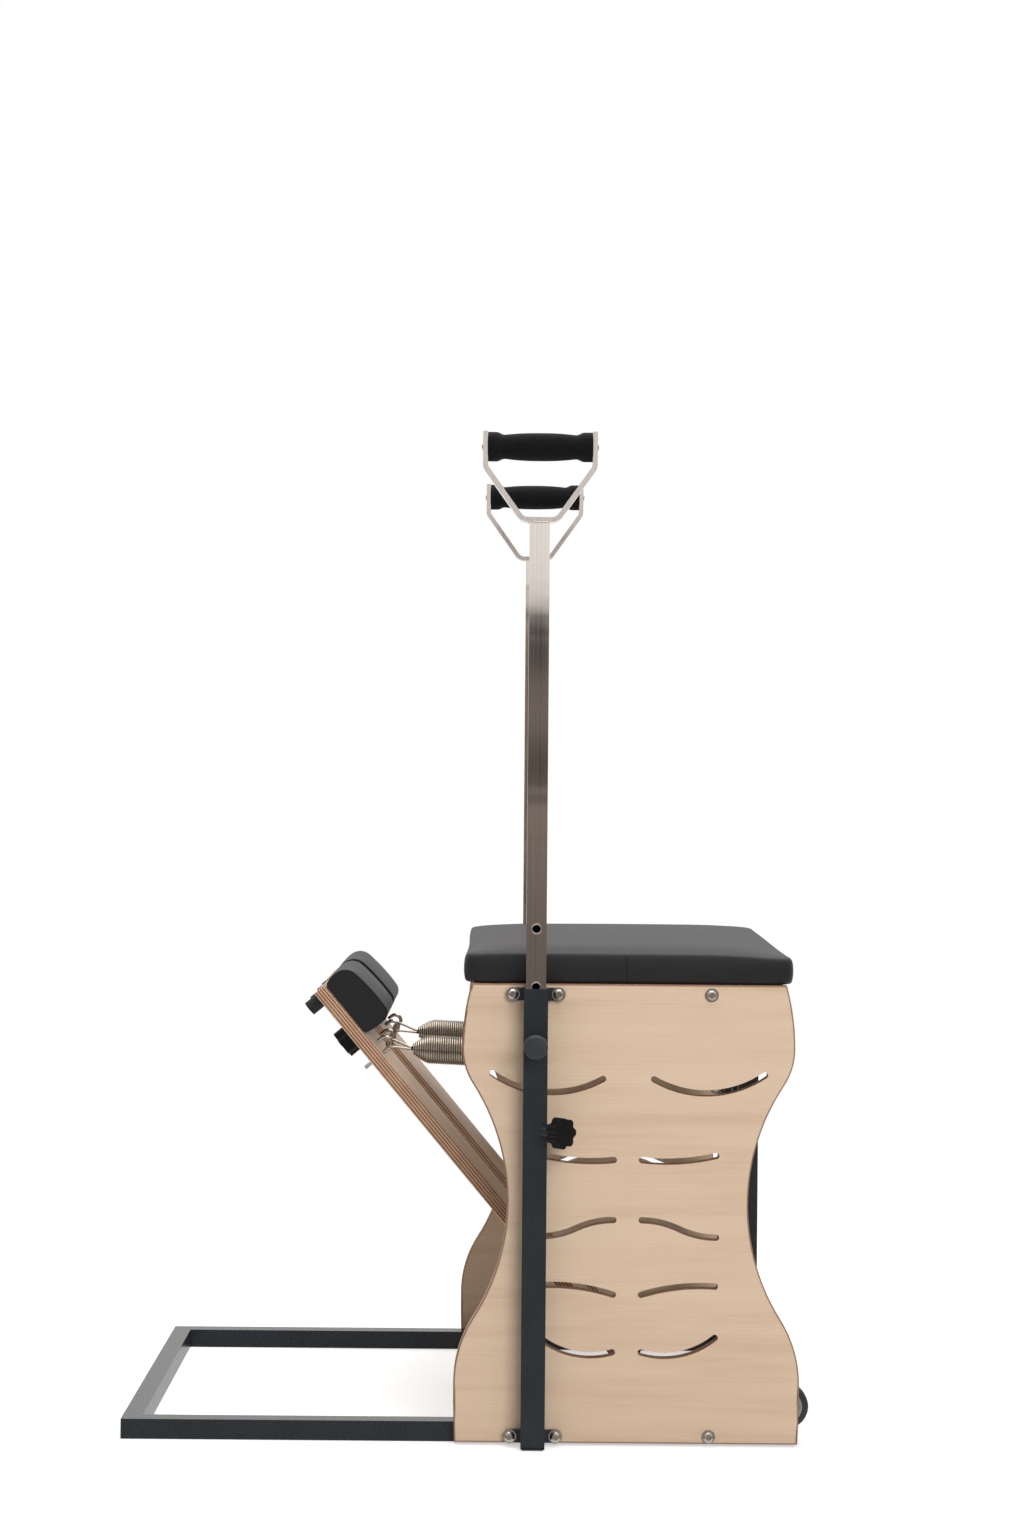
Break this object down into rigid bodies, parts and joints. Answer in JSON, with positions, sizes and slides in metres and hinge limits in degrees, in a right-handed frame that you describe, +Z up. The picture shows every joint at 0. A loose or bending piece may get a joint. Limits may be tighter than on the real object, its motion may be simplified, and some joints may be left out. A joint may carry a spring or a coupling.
{
  "type": "pilates chair",
  "caption": "Pilates chair with waisted plywood sides, a padded seat, sliding side handles and sprung foot pedals on a steel floor frame.",
  "frame": {"origin": "on the floor, under the middle of the whole chair's box", "axes": "+Z up, +X from the pedals to the rear, +Y to the sitter's right"},
  "size_m": [0.863, 0.75, 1.264],
  "materials": {
    "plywood": "clear satin lacquer on pale maple-faced plywood",
    "frame_paint": "dark blue-grey powder coat",
    "chrome": "bright chrome plate",
    "steel": "plain bright steel",
    "black_plastic": "moulded black plastic",
    "grey_plastic": "moulded dark grey plastic",
    "foam": "black foam",
    "rubber": "black rubber",
    "leather": "charcoal synthetic leather",
    "hub_grey": "light grey plastic"
  },
  "bodies": {
    "chair": {"left_side_panel": "plywood", "left_floor_rail": "frame_paint", "left_top_rail": "frame_paint", "left_outer_rack_post": "frame_paint", "left_inner_rack_post": "frame_paint", "left_upright": "frame_paint", "right_side_panel": "plywood", "right_floor_rail": "frame_paint", "right_top_rail": "frame_paint", "right_outer_rack_post": "frame_paint", "right_inner_rack_post": "frame_paint", "right_upright": "frame_paint", "front_floor_tube": "frame_paint", "rear_floor_tube": "frame_paint", "front_top_tube": "frame_paint", "rear_top_tube": "frame_paint", "rack_hooks": "steel", "pedal_axle": "steel", "axle_brackets": "frame_paint", "seat_board": "plywood", "seat_cushion": "leather", "foot_plugs": "black_plastic", "panel_bolts": "steel", "panel_washers": "steel", "plunger_bodies": "steel", "clamp_bosses": "frame_paint", "wheel_brackets": "frame_paint", "wheel_bolts": "steel"},
    "left_pedal": {"left_pedal_hinge": "frame_paint", "left_pedal_board": "plywood", "left_foot_pad": "leather", "left_bumpers": "rubber", "left_spring_hooks": "steel"},
    "left_pad_knob": {"left_pad_knob": "black_plastic"},
    "left_spring": {"left_spring": "steel"},
    "left_spring_end": {"left_spring_eye": "steel"},
    "left_handle": {"left_handle_post": "chrome", "left_handle_bracket": "chrome", "left_grip": "foam", "left_grip_rod": "chrome"},
    "left_plunger": {"left_plunger_knob": "grey_plastic"},
    "left_clamp": {"left_clamp_knob": "black_plastic"},
    "left_wheel": {"left_tyre": "rubber", "left_hub": "hub_grey"},
    "right_pedal": {"right_pedal_hinge": "frame_paint", "right_pedal_board": "plywood", "right_foot_pad": "leather", "right_bumpers": "rubber", "right_spring_hooks": "steel"},
    "right_pad_knob": {"right_pad_knob": "black_plastic"},
    "right_spring": {"right_spring": "steel"},
    "right_spring_end": {"right_spring_eye": "steel"},
    "right_handle": {"right_handle_post": "chrome", "right_handle_bracket": "chrome", "right_grip": "foam", "right_grip_rod": "chrome"},
    "right_plunger": {"right_plunger_knob": "grey_plastic"},
    "right_clamp": {"right_clamp_knob": "black_plastic"},
    "right_wheel": {"right_tyre": "rubber", "right_hub": "hub_grey"}
  },
  "joints": [
    {"name": "left_pedal_press", "type": "hinge", "parent": "chair", "child": "left_pedal", "pos_m": [0.2249, -0.115, 0.0446], "axis": [0, -1, 0], "range_deg": [0, 50], "stiffness_Nm_per_rad": 60, "springref_deg": -20.05, "deforming": ["left_spring", "left_spring_eye"]},
    {"name": "left_pad_knob_turn", "type": "hinge", "parent": "left_pedal", "child": "left_pad_knob", "pos_m": [-0.15055, -0.1025, 0.49205], "axis": [-0.766, 0, -0.6428], "range_deg": [0, 360]},
    {"name": "left_spring_swing", "type": "hinge", "parent": "chair", "child": "left_spring", "pos_m": [0.3335, -0.165, 0.46583], "axis": [0, -1, 0], "range_deg": [0, 33.27]},
    {"name": "left_spring_stretch", "type": "slide", "parent": "left_spring", "child": "left_spring_end", "axis": [-0.999, 0, 0.0454], "range_m": [0, 0.3278]},
    {"name": "left_handle_slide", "type": "slide", "parent": "chair", "child": "left_handle", "axis": [0, 0, 1], "range_m": [-0.144, 0.216]},
    {"name": "left_plunger_pull", "type": "slide", "parent": "chair", "child": "left_plunger", "axis": [0, -1, 0], "range_m": [0, 0.008], "stiffness_N_per_m": 600, "springref_m": -0.01},
    {"name": "left_clamp_turn", "type": "hinge", "parent": "chair", "child": "left_clamp", "pos_m": [0.10601, -0.34621, 0.396], "axis": [0.7071, -0.7071, 0], "range_deg": [0, 360]},
    {"name": "left_wheel_spin", "type": "hinge", "parent": "chair", "child": "left_wheel", "pos_m": [0.4035, -0.28, 0.046], "axis": [0, 1, 0], "continuous": true},
    {"name": "right_pedal_press", "type": "hinge", "parent": "chair", "child": "right_pedal", "pos_m": [0.2249, 0.115, 0.0446], "axis": [0, -1, 0], "range_deg": [0, 50], "stiffness_Nm_per_rad": 60, "springref_deg": -20.05, "deforming": ["right_spring", "right_spring_eye"]},
    {"name": "right_pad_knob_turn", "type": "hinge", "parent": "right_pedal", "child": "right_pad_knob", "pos_m": [-0.15055, 0.1025, 0.49205], "axis": [-0.766, 0, -0.6428], "range_deg": [0, 360]},
    {"name": "right_spring_swing", "type": "hinge", "parent": "chair", "child": "right_spring", "pos_m": [0.3335, 0.068, 0.46583], "axis": [0, -1, 0], "range_deg": [0, 33.27]},
    {"name": "right_spring_stretch", "type": "slide", "parent": "right_spring", "child": "right_spring_end", "axis": [-0.999, 0, 0.0454], "range_m": [0, 0.3278]},
    {"name": "right_handle_slide", "type": "slide", "parent": "chair", "child": "right_handle", "axis": [0, 0, 1], "range_m": [-0.144, 0.216]},
    {"name": "right_plunger_pull", "type": "slide", "parent": "chair", "child": "right_plunger", "axis": [0, 1, 0], "range_m": [0, 0.008], "stiffness_N_per_m": 600, "springref_m": -0.01},
    {"name": "right_clamp_turn", "type": "hinge", "parent": "chair", "child": "right_clamp", "pos_m": [0.10601, 0.34621, 0.396], "axis": [0.7071, 0.7071, 0], "range_deg": [0, 360]},
    {"name": "right_wheel_spin", "type": "hinge", "parent": "chair", "child": "right_wheel", "pos_m": [0.4035, 0.28, 0.046], "axis": [0, 1, 0], "continuous": true}
  ],
  "couplings": [
    {"joint": "left_spring_swing", "follows": "left_pedal_press", "ratio": 0.66336},
    {"joint": "left_spring_stretch", "follows": "left_pedal_press", "m_per_rad": 0.37451},
    {"joint": "right_spring_swing", "follows": "right_pedal_press", "ratio": 0.66336},
    {"joint": "right_spring_stretch", "follows": "right_pedal_press", "m_per_rad": 0.37451}
  ]
}
